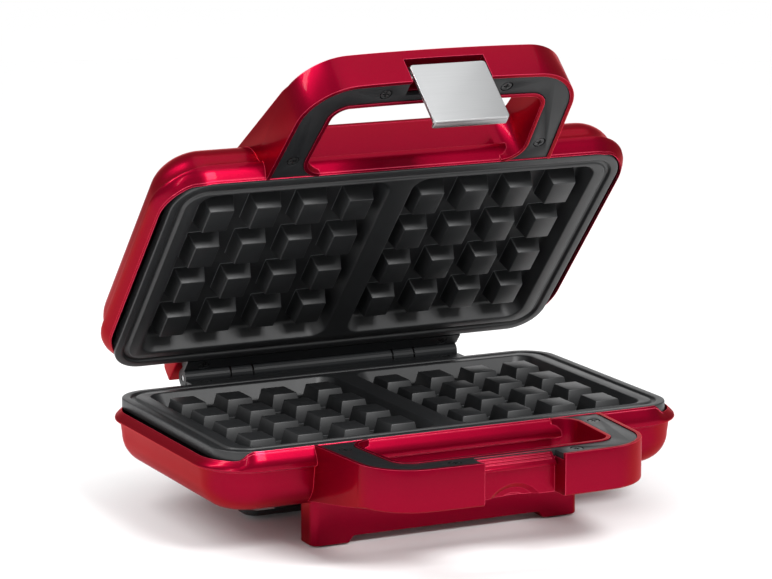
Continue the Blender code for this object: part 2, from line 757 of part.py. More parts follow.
def latch_plate():
    """The brushed latch: a flat plate rolled round its pin, a finger lip and the hook that grips the base."""
    front, back = LATCH_FACES
    low, top = LATCH_ENDS
    profile = [
        (back, top - 0.0010),
        (front + 0.0006, top),
        (front, top - 0.0006),
        (front, low),
        (front + 0.0005, low - 0.0005),
        (-0.1244, low - 0.0005),
        (-0.1240, low + 0.0004),
        (-0.1240, low + 0.0016),
        (back, low + 0.0030),
    ]
    plate = prism("latch_plate", profile, -LATCH_HALF, LATCH_HALF)
    left, right = (-LATCH_HALF, LATCH_Y, LATCH_Z), (LATCH_HALF, LATCH_Y, LATCH_Z)
    join(plate, rod("barrel", left, right, LATCH_BARREL, 20))
    hook = [(back - 0.0010, -0.0073), (HOOK_TIP, -0.0073), (HOOK_TIP, -0.0082), (back - 0.0010, -0.0118)]
    join(plate, prism("hook", hook, -0.0120, 0.0120))
    bore = PIN + 0.00008
    cut(plate, rod("bore", (-0.03, LATCH_Y, LATCH_Z), (0.03, LATCH_Y, LATCH_Z), bore, 20))
    return plate


HOOK_X = (0.0400, 0.0560, 0.0760)
HOOK_Y = (0.0070, 0.0230)
TONGUE_DEPTH = (0.0478, 0.0504)


def cord_hook(name, sign):
    """A hook under the base for winding the cord: a post with a tongue that points outwards."""
    inner, outer, tip = HOOK_X
    x0, x1 = sorted((sign * inner, sign * outer))
    depths = (BODY_DEPTH[BASE] + GAP, TONGUE_DEPTH[1])
    post = slab(name, BASE, depths, outline(rectangle(x0, x1, *HOOK_Y, 0.002)))
    x0, x1 = sorted((sign * inner, sign * tip))
    edge = rectangle(x0, x1, HOOK_Y[0] - 0.001, HOOK_Y[1] + 0.001, 0.006)
    join(post, slab("tongue", BASE, TONGUE_DEPTH, outline(edge)))
    return post


def empty(name, parent, location, drawn_at):
    made = bpy.data.objects.new(name, None)
    parts.objects.link(made)
    made.parent = parent
    made.location = location
    made["drawn_at"] = drawn_at
    return made


def place_frames():
    """The empties of the three bodies; the model's own origin is below the middle of its box."""
    corner_y = BUMP_BACK - BUMP_ROUND - HINGE_Y
    corner_z = BUMP_DEPTH[LID][1] - BUMP_ROUND
    opened = radians(LID_OPEN)
    rearmost = HINGE_Y + corner_y * cos(opened) + corner_z * sin(opened) + BUMP_ROUND
    foremost = min(y for _, y in outline(handle_corners(), 7))
    shift = -(rearmost + foremost) / 2
    base = empty("base_frame", None, (0, shift, REST_HEIGHT), (0, 0, 0))
    lid = empty("lid_hinge", base, (0, HINGE_Y, 0), (0, HINGE_Y, 0))
    lid.rotation_euler = (-opened, 0, 0)
    at_latch = (0, LATCH_Y, LATCH_Z)
    latch = empty("latch_hinge", lid, (0, LATCH_Y - HINGE_Y, LATCH_Z), at_latch)
    return base, lid, latch


base_frame, lid_frame, latch_frame = place_frames()

for side, frame, half in ((BASE, base_frame, "lower"), (LID, lid_frame, "upper")):
    finish(housing(side), frame, RED)
    finish(insert(side), frame, BLACK)
    finish(cooking_plate(side), frame, COATING)
    finish(heating_element(side), frame, STEEL)
    finish(heat_shield(side), frame, SHEET)
    finish(hinge_block(side), frame, BLACK)
    for number, (x, y) in enumerate(SCREWS, 1):
        top = side * (INSERT_TOP + 0.0002)
        finish(screw(f"{half}_handle_screw_{number}", x, y, top, side), frame, STEEL)
    for number, (x, y) in enumerate(SHIELD_SCREWS, 1):
        top = side * (SHIELD_DEPTH + SHEET_THICK + GAP + SCREW_HEAD_HEIGHT)
        finish(screw(f"{half}_shield_screw_{number}", x, y, top, -side, 0.0075), frame, STEEL)
    for number, (x, y) in enumerate(HINGE_SCREWS, 1):
        finish(screw(f"{half}_hinge_screw_{number}", x, y, side * 0.0009, side, 0.0046), frame, STEEL)

for hand, sign in (("left", -1), ("right", 1)):
    start, end = (sign * 0.0270, HINGE_Y, 0), (sign * 0.0745, HINGE_Y, 0)
    finish(rod(f"hinge_pin_{hand}", start, end, PIN, 24), base_frame, STEEL)
    finish(cord_hook(f"cord_hook_{hand}", sign), base_frame, BLACK)
    for end_name, (y0, y1) in (("front", PLINTH_Y), ("rear", REAR_FOOT_Y)):
        x0, x1 = sorted((sign * (REAR_FOOT_X - PAD_HALF), sign * (REAR_FOOT_X + PAD_HALF)))
        pad_depths = (FOOT_DEPTH + 0.0001, REST_HEIGHT)
        edge = rectangle(x0, x1, y0 + PAD_MARGIN, y1 - PAD_MARGIN, 0.003)
        pad = slab(f"{end_name}_foot_pad_{hand}", BASE, pad_depths, outline(edge))
        finish(pad, base_frame, RUBBER)

for name, x, look in (("power_lamp_lens", LAMPS[0], LAMP_RED), ("ready_lamp_lens", LAMPS[1], LAMP_GREEN)):
    finish(lamp_lens(name, x), lid_frame, look)

finish(cord_gland(), base_frame, RUBBER)
finish(thermostat(), base_frame, IVORY)
finish(terminal_block(), base_frame, IVORY)
finish(thermal_fuse(), lid_frame, STEEL)
finish(latch_plate(), latch_frame, BRUSHED)
pin_end = NOTCH_HALF + 0.0021
finish(rod("latch_pin", (-pin_end, LATCH_Y, LATCH_Z), (pin_end, LATCH_Y, LATCH_Z), PIN, 24), lid_frame, STEEL)
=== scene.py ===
"""Looks of a two-waffle maker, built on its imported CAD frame."""

from math import cos, pi, radians, sin, tan

import bmesh
import bpy
from mathutils import Matrix, Vector


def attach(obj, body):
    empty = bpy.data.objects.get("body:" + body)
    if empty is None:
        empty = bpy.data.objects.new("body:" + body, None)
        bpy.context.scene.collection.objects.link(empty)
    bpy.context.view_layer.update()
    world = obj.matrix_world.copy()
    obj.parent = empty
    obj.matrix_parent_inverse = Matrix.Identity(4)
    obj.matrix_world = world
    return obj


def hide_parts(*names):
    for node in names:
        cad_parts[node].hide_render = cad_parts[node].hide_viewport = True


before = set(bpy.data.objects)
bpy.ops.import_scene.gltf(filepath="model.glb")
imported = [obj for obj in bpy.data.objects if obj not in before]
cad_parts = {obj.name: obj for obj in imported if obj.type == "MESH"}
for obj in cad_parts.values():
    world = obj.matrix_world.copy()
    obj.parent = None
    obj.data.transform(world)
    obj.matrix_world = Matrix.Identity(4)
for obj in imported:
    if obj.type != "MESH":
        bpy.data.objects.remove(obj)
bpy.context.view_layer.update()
bpy.ops.object.select_all(action="DESELECT")

# ---------------------------------------------------------------------------------------------------------
# The two shells: moulded in heat-resistant plastic, lacquered metallic red, and hollow behind the plates.
# Each is a shallow bowl with a rolled edge, a lip that steps up into a rail along the front, a handle
# loop, and a hump over the hinge. The base stands on a plinth and two feet moulded in one with it.
# Everything is drawn for the base, under the plane where the plates meet; the lid is that turned over.

HINGE_Y = 0.0890
ORIGIN = Vector((0, 0.010894, 0.0525))
OPENED = radians(48.1)
FLANGE_HALF, FLANGE_FRONT, FLANGE_BACK = 0.1245, -0.0670, 0.0790
FLANGE_CORNERS = (0.0260, 0.0305)
BODY_DEPTH = {"base": 0.0303, "lid": 0.0278}
GRIP_DEPTH = {"base": 0.0200, "lid": 0.0186}
ROOT_DEPTH = {"base": 0.0292, "lid": 0.0310}
HUMP = {"base": (0.0135, 0.0295), "lid": (0.0060, 0.0160)}
HANDLE = dict(back=-0.0480, front=-0.1258, bow=-0.1293, half_back=0.0756, half_front=0.0696,
              round_back=0, round_front=0.0260)
HOLE = dict(back=-0.0652, front=-0.1108, bow=-0.1126, half_back=0.0572, half_front=0.0536,
            round_back=0.010, round_front=0.008)
HANDLE_RIM = 0.0019
NOTCH_HALF, NOTCH_BACK = 0.0204, -0.1177
LEG_START, LEG_LENGTH = -0.1080, 0.0460
LAMP_X, LAMP_Y, LAMP_HOLE = 0.0130, -0.0420, 0.0043
INLAY_ROOT = -0.0633
SCREWS = ((-0.0642, -0.0755), (-0.0310, -0.1190), (0.0310, -0.1190), (0.0642, -0.0755))


def open_mesh(piece):
    """Makes a piece the only one selected and opens it in edit mode."""
    bpy.ops.object.select_all(action="DESELECT")
    piece.select_set(True)
    bpy.context.view_layer.objects.active = piece
    bpy.ops.object.mode_set(mode="EDIT")


def close_mesh():
    bpy.ops.object.mode_set(mode="OBJECT")


def pick(kind, test):
    """Selects the corners, edges or faces of the open mesh that pass a test, and nothing else."""
    bpy.ops.mesh.select_mode(type={"verts": "VERT", "edges": "EDGE", "faces": "FACE"}[kind])
    bpy.ops.mesh.select_all(action="DESELECT")
    mesh = bmesh.from_edit_mesh(bpy.context.object.data)
    for item in getattr(mesh, kind):
        if test(item):
            item.select_set(True)
    mesh.select_flush_mode()
    bmesh.update_edit_mesh(bpy.context.object.data)


def added(name):
    """The primitive just added, named, with its place and size kept in its mesh."""
    piece = bpy.context.object
    piece.name = piece.data.name = name
    bpy.ops.object.transform_apply(location=True, rotation=True, scale=True)
    return piece


def block(name, low, high):
    bpy.ops.object.select_all(action="DESELECT")
    size = Vector(high) - Vector(low)
    bpy.ops.mesh.primitive_cube_add(size=1, location=Vector(low) + size / 2, scale=size)
    return added(name)


def rod(name, start, end, radius, sides=32):
    bpy.ops.object.select_all(action="DESELECT")
    start, end = Vector(start), Vector(end)
    turn = (end - start).to_track_quat("Z", "Y").to_euler()
    bpy.ops.mesh.primitive_cylinder_add(
        vertices=sides, radius=radius, depth=(end - start).length, location=(start + end) / 2, rotation=turn
    )
    return added(name)


def finish_with(piece, kind, **settings):
    """Adds a modifier and applies it."""
    modifier = piece.modifiers.new(kind.lower(), kind)
    for key, value in settings.items():
        setattr(modifier, key, value)
    bpy.ops.object.select_all(action="DESELECT")
    piece.select_set(True)
    bpy.context.view_layer.objects.active = piece
    bpy.ops.object.modifier_apply(modifier=modifier.name)


def cut(piece, *cutters):
    for cutter in cutters:
        finish_with(piece, "BOOLEAN", operation="DIFFERENCE", object=cutter, solver="EXACT")
        bpy.data.objects.remove(cutter)


def soften(piece, width, segments=3, sharper_than=35):
    """Rounds every edge that is sharper than an angle, as a mould's edges are."""
    finish_with(
        piece, "BEVEL", width=width, segments=segments, limit_method="ANGLE",
        angle_limit=radians(sharper_than), miter_outer="MITER_ARC",
    )


def merged(*pieces):
    """Joins pieces into the first one."""
    bpy.ops.object.select_all(action="DESELECT")
    for piece in pieces:
        piece.select_set(True)
    bpy.context.view_layer.objects.active = pieces[0]
    bpy.ops.object.join()
    return pieces[0]


def outline(name, z, back, front, bow, half_back, half_front, round_back, round_front):
    """A flat face with four rounded corners, narrower in front, whose front edge is bowed."""
    bpy.ops.object.select_all(action="DESELECT")
    bpy.ops.mesh.primitive_plane_add(size=2, location=(0, 0, z))
    piece = added(name)
    open_mesh(piece)
    bpy.ops.mesh.bisect(plane_co=(0, 0, 0), plane_no=(1, 0, 0))
    pick("edges", lambda edge: all(abs(corner.co.x) < 1e-6 for corner in edge.verts))
    bpy.ops.mesh.dissolve_edges(use_verts=False)
    close_mesh()
    for corner in piece.data.vertices:
        middle = abs(corner.co.x) < 0.5
        if corner.co.y > 0:
            corner.co = (corner.co.x * half_back, back, z)
        else:
            corner.co = (corner.co.x * half_front, bow if middle else front, z)
    open_mesh(piece)
    slope = (front - bow) / half_front
    lean = (half_back - half_front) / (back - front)
    if round_back:
        pick("verts", lambda v: v.co.y > back - 1e-6 and abs(v.co.x) > 1e-4)
        reach = round_back / tan((pi / 2 - lean) / 2)
        bpy.ops.mesh.bevel(offset=reach, segments=12, affect="VERTICES")
    pick("verts", lambda v: abs(v.co.y - front) < 1e-6 and abs(v.co.x) > 1e-4)
    reach = round_front / tan((pi / 2 + lean + slope) / 2)
    bpy.ops.mesh.bevel(offset=reach, segments=18, affect="VERTICES")
    if bow < front:
        pick("verts", lambda v: abs(v.co.y - bow) < 1e-6 and abs(v.co.x) < 1e-4)
        bpy.ops.mesh.bevel(offset=(half_front - reach) * 0.96, segments=14, affect="VERTICES")
    close_mesh()
    return piece


def thicken(piece, bottom):
    """Draws a flat face down to a depth, as a closed solid."""
    open_mesh(piece)
    bpy.ops.mesh.select_all(action="SELECT")
    top = piece.data.vertices[0].co.z
    bpy.ops.mesh.extrude_region_move(TRANSFORM_OT_translate={"value": (0, 0, bottom - top)})
    bpy.ops.mesh.select_all(action="SELECT")
    bpy.ops.mesh.normals_make_consistent(inside=False)
    close_mesh()
    return piece


def flange_face(name, z):
    front, back = FLANGE_FRONT, FLANGE_BACK
    low, high = FLANGE_CORNERS
    return outline(name, z, back, front, front, FLANGE_HALF, FLANGE_HALF, high, low)


def ramp(value, start, end):
    """0 before start, 1 after end, and a smooth rise in between."""
    share = min(max((value - start) / (end - start), 0), 1)
    return share * share * (3 - 2 * share)


LIP_LEVEL = {"base": -0.0047, "lid": -0.0018}
CREST_LEVEL = -0.0084
LIP_RINGS = ((0.0003, 0.0009), (0.0009, 0.0010), (0.0020, 0.0018), (0.0002, 0.0000), (0.0002, -0.0004),
             (0.0001, -0.0043))
WALL_RINGS = ((0.0002, 0.0006), (0.0011, 0.0006), (0.0010, 0.0003), (0.0003, 0.0007))
ROLL = 0.0140


def bowl(half):
    """The shell's bowl: the wall below the lip's crest, the lip above it, then a wall thickness."""
    depth = BODY_DEPTH[half]
    wall = flange_face("wall", CREST_LEVEL)
    open_mesh(wall)
    bpy.ops.mesh.select_all(action="SELECT")
    bpy.ops.mesh.flip_normals()
    for inwards, down in WALL_RINGS:
        bpy.ops.mesh.inset(thickness=inwards, depth=down)
    start = -CREST_LEVEL + sum(down for _, down in WALL_RINGS)
    bpy.ops.mesh.inset(thickness=0.0008, depth=depth - ROLL - start)
    steps = 12
    for k in range(steps):
        before, after = pi / 2 * k / steps, pi / 2 * (k + 1) / steps
        inwards, down = ROLL * (cos(before) - cos(after)), ROLL * (sin(after) - sin(before))
        bpy.ops.mesh.inset(thickness=inwards, depth=down)
    close_mesh()
    lip = flange_face("lip", CREST_LEVEL)
    open_mesh(lip)
    bpy.ops.mesh.select_all(action="SELECT")
    for inwards, up in LIP_RINGS:
        bpy.ops.mesh.inset(thickness=inwards, depth=up)
    bpy.ops.mesh.delete(type="FACE")
    close_mesh()
    for corner in lip.data.vertices:
        above = min(max((corner.co.z - CREST_LEVEL) / 0.0037, 0), 1)
        inner = corner.co.z < CREST_LEVEL - 0.0005
        corner.co.z += (LIP_LEVEL[half] + 0.0047) * (1 if inner else above ** 0.8)
        raised = ramp(0.1110 - abs(corner.co.x), 0, 0.0070) if corner.co.y < -0.05 else 0
        corner.co.z += (-LIP_LEVEL[half] - 0.0003) * raised * (1 if inner else above ** 0.8)
        seated = 1 if corner.co.y > 0.07 and abs(corner.co.x) < 0.0760 else 0
        corner.co.z = min(corner.co.z, -0.0064) if seated else corner.co.z
    shell = merged(wall, lip)
    open_mesh(shell)
    bpy.ops.mesh.select_all(action="SELECT")
    bpy.ops.mesh.remove_doubles(threshold=1e-5)
    bpy.ops.mesh.normals_make_consistent(inside=False)
    close_mesh()
    return shell


def handle(half):
    """The handle loop: legs deepening towards the body, a finger hole, an inlay seat and a latch notch."""
    grip = GRIP_DEPTH[half]
    loop = thicken(outline("loop", -0.0003, **HANDLE), -grip)
    open_mesh(loop)
    bpy.ops.mesh.select_all(action="SELECT")
    bpy.ops.mesh.bisect(plane_co=(0, LEG_START, 0), plane_no=(0, 1, 0))
    close_mesh()
    for corner in loop.data.vertices:
        if corner.co.z < -0.01 and corner.co.y > LEG_START:
            corner.co.z -= (ROOT_DEPTH[half] - grip) * (corner.co.y - LEG_START) / LEG_LENGTH
            corner.co.z = max(corner.co.z, -ROOT_DEPTH[half])
    hole = thicken(outline("hole", 0.0100, **HOLE), -0.0450)
    behind = block("behind", (-0.0474, -0.0700, -0.0082), (0.0474, -0.0400, 0.0100))
    plate_room = block("plate_room", (-0.0900, -0.0632, -0.0140), (0.0900, -0.0400, 0.0100))
    notch_low = -0.0450 if half == "base" else -0.0136
    notch = block("notch", (-NOTCH_HALF, -0.1400, notch_low), (NOTCH_HALF, NOTCH_BACK, 0.0100))
    cut(loop, hole, behind, plate_room, notch, inlay("seat", 0.0100, -0.0036, 0))
    if half == "base":
        bpy.ops.mesh.primitive_cone_add(
            vertices=72, radius1=0.0162, radius2=0.0138, depth=0.0022,
            location=(0, NOTCH_BACK + 0.0010, -0.0300), rotation=(-pi / 2, 0, 0),
        )
        cut(loop, added("scoop"))
        cut(loop, rod("scoop", (0, -0.1200, -0.0300), (0, NOTCH_BACK + 0.0032, -0.0300), 0.0112, 72))
    crest = grip - 0.0012
    round_outer_edges(loop, crest, 0.0026 if half == "lid" else 0.0012)
    soften(loop, 0.0005)
    return loop


def round_outer_edges(loop, depth, width):
    """Rounds the outside edge of the handle that faces away from the plates."""
    open_mesh(loop)
    def outside(edge):
        low = all(v.co.z < -depth for v in edge.verts)
        beside, before = HOLE["half_back"] + 0.004, HOLE["bow"] - 0.004
        far = all(abs(v.co.x) > beside or v.co.y < before for v in edge.verts)
        ahead = all(v.co.y < -0.0470 for v in edge.verts)
        sharp = len(edge.link_faces) == 2 and edge.calc_face_angle(0) > radians(60)
        level = abs(edge.verts[0].co.z - edge.verts[1].co.z) < 0.004
        notched = all(abs(v.co.x) < NOTCH_HALF + 0.0001 for v in edge.verts)
        return low and far and ahead and sharp and level and not notched
    pick("edges", outside)
    bpy.ops.mesh.bevel(offset=width, segments=8, affect="EDGES", clamp_overlap=True)
    close_mesh()


def shoulder(half):
    """The wedge behind the handle that carries its root back into the shell."""
    made = block("shoulder", (-0.0722, -0.0645, -ROOT_DEPTH[half] + 0.0002), (0.0722, 0.0300, -0.0100))
    open_mesh(made)
    bpy.ops.mesh.select_all(action="SELECT")
    bpy.ops.mesh.bisect(plane_co=(0, -0.0600, 0), plane_no=(0, 1, 0))
    close_mesh()
    for corner in made.data.vertices:
        if corner.co.y > 0.02 and corner.co.z < -0.02:
            corner.co.z = -BODY_DEPTH[half] + 0.0008
    open_mesh(made)
    pick("edges", lambda edge: all(abs(v.co.x) > 0.07 and v.co.z < -0.02 for v in edge.verts))
    bpy.ops.mesh.bevel(offset=0.0026, segments=8, affect="EDGES")
    close_mesh()
    for x in (-LAMP_X, LAMP_X):
        cut(made, rod("lamp_hole", (x, LAMP_Y, -0.0240), (x, LAMP_Y, -0.0400), LAMP_HOLE, 40))
    return made


def inlay(name, top, bottom, gap):
    """The U of the handle's inlay or of its seat: the handle less its rims, open towards the plate."""
    sides = {key: HANDLE[key] for key in ("back", "round_back")}
    edge = HANDLE_RIM + gap
    sides.update(front=HANDLE["front"] + edge, bow=HANDLE["bow"] + edge,
                 half_back=HANDLE["half_back"] - edge, half_front=HANDLE["half_front"] - edge,
                 round_front=HANDLE["round_front"] - edge)
    made = thicken(outline(name, top, **sides), bottom)
    hole = dict(HOLE)
    hole.update(back=HOLE["back"] + edge, front=HOLE["front"] - edge, bow=HOLE["bow"] - edge,
                half_back=HOLE["half_back"] + edge, half_front=HOLE["half_front"] + edge,
                round_back=HOLE["round_back"] + edge, round_front=HOLE["round_front"] + edge)
    inner = thicken(outline("inner", top + 0.01, **hole), bottom - 0.01)
    mouth = block("mouth", (-0.0474, -0.0700, bottom - 0.01), (0.0474, -0.0400, top + 0.01))
    root = block("root", (-0.1, INLAY_ROOT, bottom - 0.01), (0.1, -0.0400, top + 0.01))
    across = NOTCH_HALF + gap
    notch = block("notch", (-across, -0.1400, bottom - 0.01), (across, NOTCH_BACK + gap, top + 0.01))
    if gap:
        cut(made, inner, mouth, root, notch)
    else:
        bpy.data.objects.remove(root)
        cut(made, inner, mouth, notch)
    return made


def hump(half):
    """The box over the hinge at the back, rounded along its outer edges."""
    top, bottom = HUMP[half]
    made = block("hump", (-0.0775, 0.0640, -bottom), (0.0775, 0.0990, -top))
    open_mesh(made)
    pick("edges", lambda edge: all(v.co.y > 0.09 and v.co.z < -bottom + 1e-5 for v in edge.verts))
    bpy.ops.mesh.bevel(offset=0.0030, segments=8, affect="EDGES")
    close_mesh()
    soften(made, 0.0008, sharper_than=50)
    return made


def place(piece, half, material=None):
    """Puts a piece drawn for the base in its place: for the lid it is turned over and swung open."""
    at_origin = Matrix.Translation(ORIGIN)
    if half == "lid":
        to_hinge = Matrix.Translation((0, HINGE_Y, 0))
        opened = to_hinge @ Matrix.Rotation(-OPENED, 4, "X") @ to_hinge.inverted()
        piece.data.transform(at_origin @ opened @ Matrix.Scale(-1, 4, (0, 0, 1)))
        piece.data.flip_normals()
    else:
        piece.data.transform(at_origin)
    bpy.ops.object.select_all(action="DESELECT")
    piece.select_set(True)
    bpy.context.view_layer.objects.active = piece
    bpy.ops.object.shade_smooth_by_angle(angle=radians(32))
    if material:
        piece.data.materials.clear()
        piece.data.materials.append(material)
    return piece


def new_material(name):
    """A node material, its shader, and a maker of further nodes."""
    material = bpy.data.materials.new(name)
    material.use_nodes = True
    tree = material.node_tree
    shader = tree.nodes["Principled BSDF"]

    def node(kind, **inputs):
        made = tree.nodes.new(kind)
        for key, value in inputs.items():
            socket = made.inputs[key.replace("_", " ")]
            if hasattr(value, "links"):
                tree.links.new(value, socket)
            else:
                socket.default_value = value
        return made

    return material, shader, node, tree


def mapped(node, source, low, high):
    """A node's output, stretched from low to high."""
    made = node("ShaderNodeMapRange", Value=source)
    made.inputs["To Min"].default_value = low
    made.inputs["To Max"].default_value = high
    return made.outputs["Result"]


def noise(node, coordinates, scale, detail=4):
    made = node("ShaderNodeTexNoise", Vector=coordinates, Scale=scale, Detail=detail)
    return made.outputs["Fac"]


def mixed(tree, share, first, second):
    """Two colours mixed by a share."""
    made = tree.nodes.new("ShaderNodeMix")
    made.data_type = "RGBA"
    for socket, value in ((made.inputs[0], share), (made.inputs[6], first), (made.inputs[7], second)):
        if hasattr(value, "links"):
            tree.links.new(value, socket)
        else:
            socket.default_value = value
    return made.outputs[2]


def near_edges(node, width, sharp):
    """1 along the edges of a piece and 0 on its flat faces, from how the surface turns within a width."""
    rounded = node("ShaderNodeBevel", Radius=width)
    rounded.samples = 6
    facing = node("ShaderNodeNewGeometry").outputs["Normal"]
    turned = node("ShaderNodeVectorMath")
    turned.operation = "DOT_PRODUCT"
    turned.id_data.links.new(rounded.outputs["Normal"], turned.inputs[0])
    turned.id_data.links.new(facing, turned.inputs[1])
    mask = node("ShaderNodeMapRange", Value=turned.outputs["Value"])
    mask.inputs["From Min"].default_value = 0.995
    mask.inputs["From Max"].default_value = sharp
    return mask.outputs["Result"]


def red_lacquer():
    """Metallic red lacquer: flakes under a clear coat, a faint orange-peel skin, a few dull patches, and a
    painted pale pink highlight along every edge.
    """
    material, shader, node, tree = new_material("red_lacquer")
    place_of = node("ShaderNodeTexCoord").outputs["Object"]
    flakes = node("ShaderNodeTexVoronoi", Vector=place_of, Scale=2600)
    cloud = noise(node, place_of, 14)
    deep, bright = (0.180, 0.0004, 0.0120, 1), (0.230, 0.0006, 0.0165, 1)
    tone = mixed(tree, mapped(node, cloud, 0.2, 0.8), deep, bright)
    glint = mixed(tree, mapped(node, flakes.outputs["Distance"], 0.0, 0.25), tone, (0.40, 0.004, 0.026, 1))
    # Painted highlight: the base colour turns pale pink along every edge, standing in for light caught by
    # the rounded rims.
    painted_edge_highlight = mixed(tree, near_edges(node, 0.0005, 0.86), glint, (0.90, 0.085, 0.165, 1))
    tree.links.new(painted_edge_highlight, shader.inputs["Base Color"])
    haze = noise(node, place_of, 60, 6)
    tree.links.new(mapped(node, haze, 0.27, 0.38), shader.inputs["Roughness"])
    peel = noise(node, place_of, 420, 2)
    bump = node("ShaderNodeBump", Height=peel, Strength=0.05, Distance=0.0002)
    tree.links.new(bump.outputs["Normal"], shader.inputs["Coat Normal"])
    grain = node("ShaderNodeBump", Height=flakes.outputs["Distance"], Strength=0.06, Distance=0.0001)
    tree.links.new(grain.outputs["Normal"], shader.inputs["Normal"])
    shader.inputs["Metallic"].default_value = 0.80
    shader.inputs["Specular IOR Level"].default_value = 0.08
    shader.inputs["Specular Tint"].default_value = (1, 0.05, 0.12, 1)
    shader.inputs["Coat Weight"].default_value = 0.08
    shader.inputs["Coat Roughness"].default_value = 0.07
    shader.inputs["Coat IOR"].default_value = 1.5
    return material


RED = red_lacquer()


CATCH_FRONT, CATCH_LENGTH = -0.1219, 0.0054
CATCH_EDGE, CATCH_RISE = -0.0052, 0.0048


def catch():
    """The sloped catch in the base's notch, with three fine ribs, undercut below for the latch's hook."""
    made = block("catch", (-NOTCH_HALF + 0.0002, CATCH_FRONT, -0.0072),
                 (NOTCH_HALF - 0.0014, CATCH_FRONT + CATCH_LENGTH, CATCH_EDGE + CATCH_RISE))
    for corner in made.data.vertices:
        if corner.co.y < -0.12:
            corner.co.z = CATCH_EDGE if corner.co.z > -0.004 else -0.0065
    soften(made, 0.0003, sharper_than=20)
    ribs = []
    for share in (0.32, 0.55, 0.78):
        y, z = CATCH_FRONT + CATCH_LENGTH * share, CATCH_EDGE + CATCH_RISE * share
        rib = rod("rib", (-NOTCH_HALF + 0.0016, y, z), (NOTCH_HALF - 0.0030, y, z), 0.00028, 12)
        soften(rib, 0.0001)
        ribs.append(rib)
    return merged(made, *ribs)


def plinth():
    """The wide front foot with its raised middle, and the two back feet."""
    front = block("plinth", (-0.0697, -0.0517, -0.0518), (0.0697, -0.0360, -0.0240))
    open_mesh(front)
    pick("edges", lambda edge: abs(edge.verts[0].co.z - edge.verts[1].co.z) > 0.01)
    bpy.ops.mesh.bevel(offset=0.0040, segments=10, affect="EDGES")
    close_mesh()
    arch = block("arch", (-0.0485, -0.0700, -0.0600), (0.0485, -0.0300, -0.0487))
    for corner in arch.data.vertices:
        if corner.co.z < -0.05:
            corner.co.x *= 1.20
    cut(front, arch)
    soften(front, 0.0006, sharper_than=40)
    feet = [front]
    for x in (-0.0600, 0.0600):
        foot = block("foot", (x - 0.0090, 0.0560, -0.0518), (x + 0.0090, 0.0720, -0.0180))
        open_mesh(foot)
        pick("edges", lambda edge: abs(edge.verts[0].co.z - edge.verts[1].co.z) > 0.01)
        bpy.ops.mesh.bevel(offset=0.0030, segments=6, affect="EDGES")
        close_mesh()
        soften(foot, 0.0006, sharper_than=40)
        feet.append(foot)
    return feet


for half, prefix in (("base", "lower"), ("lid", "upper")):
    shell = bowl(half)
    finish_with(shell, "SOLIDIFY", thickness=0.0010, offset=-1, use_even_offset=True)
    extras = [handle(half), hump(half)]
    if half == "lid":
        extras.append(shoulder(half))
    if half == "base":
        extras += [catch(), *plinth()]
    shell = merged(shell, *extras)
    shell.name = prefix + "_shell"
    place(shell, half, RED)
    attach(shell, half)
    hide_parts(prefix + "_housing")

# ---------------------------------------------------------------------------------------------------------
# The handle inlays: two black U-shaped strips moulded in nylon with a fine matt grain, dropped into the
# handles' seats. Each has four counterbores, and a self-tapping screw in each holds it to the loop.


def black_nylon():
    """Matt black moulding: a spark-eroded grain, slightly polished where hands rub it."""
    material, shader, node, tree = new_material("black_nylon")
    place_of = node("ShaderNodeTexCoord").outputs["Object"]
    cloud = noise(node, place_of, 25)
    dark, light = (0.0070, 0.0076, 0.0084, 1), (0.0120, 0.0130, 0.0140, 1)
    tree.links.new(mixed(tree, mapped(node, cloud, 0.1, 0.9), dark, light), shader.inputs["Base Color"])
    tree.links.new(mapped(node, noise(node, place_of, 70, 5), 0.36, 0.48), shader.inputs["Roughness"])
    grain = noise(node, place_of, 2600, 3)
    bump = node("ShaderNodeBump", Height=grain, Strength=0.12, Distance=0.0001)
    tree.links.new(bump.outputs["Normal"], shader.inputs["Normal"])
    shader.inputs["Specular IOR Level"].default_value = 0.30
    return material


def dark_plating():
    """Black-plated screw steel, worn pale along the driver's marks."""
    material, shader, node, tree = new_material("dark_plating")
    place_of = node("ShaderNodeTexCoord").outputs["Object"]
    wear = noise(node, place_of, 900, 6)
    dark, pale = (0.035, 0.036, 0.038, 1), (0.20, 0.20, 0.20, 1)
    tree.links.new(mixed(tree, mapped(node, wear, -0.5, 0.9), dark, pale), shader.inputs["Base Color"])
    tree.links.new(mapped(node, wear, 0.25, 0.5), shader.inputs["Roughness"])
    shader.inputs["Metallic"].default_value = 0.9
    return material


BLACK = black_nylon()
PLATED = dark_plating()

for half, prefix in (("base", "lower"), ("lid", "upper")):
    strip = inlay(prefix + "_inlay", -0.0007, -0.0033, 0.0003)
    for x, y in SCREWS:
        sink = rod("sink", (x, y, 0.002), (x, y, -0.0021), 0.0031)
        bore = rod("bore", (x, y, 0), (x, y, -0.01), 0.0015)
        cut(strip, sink, bore)
    soften(strip, 0.00025)
    place(strip, half, BLACK)
    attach(strip, half)
    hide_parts(prefix + "_handle_insert")

for name, node_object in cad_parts.items():
    if "screw" in name:
        node_object.data.materials.clear()
        node_object.data.materials.append(PLATED)

# ---------------------------------------------------------------------------------------------------------
# The cooking plates: aluminium castings with a dark non-stick coating, each with a border, an overflow
# groove, and two cells of sixteen drafted blocks. They are clipped into the shells from the cooking side.

PLATE_HALF, PLATE_FRONT, PLATE_BACK, PLATE_CORNER = 0.1175, -0.0628, 0.0760, 0.0170
CELL_X, CELL_Y = (0.0058, 0.1040), (-0.0545, 0.0648)
BLOCK_FIRST, BLOCK_PITCH = (0.01875, -0.0350), (0.02384, 0.0267)
BLOCK_TOP, BLOCK_DRAFT = (0.0122, 0.0152), 0.0018
CELL_DEPTH = 0.0088


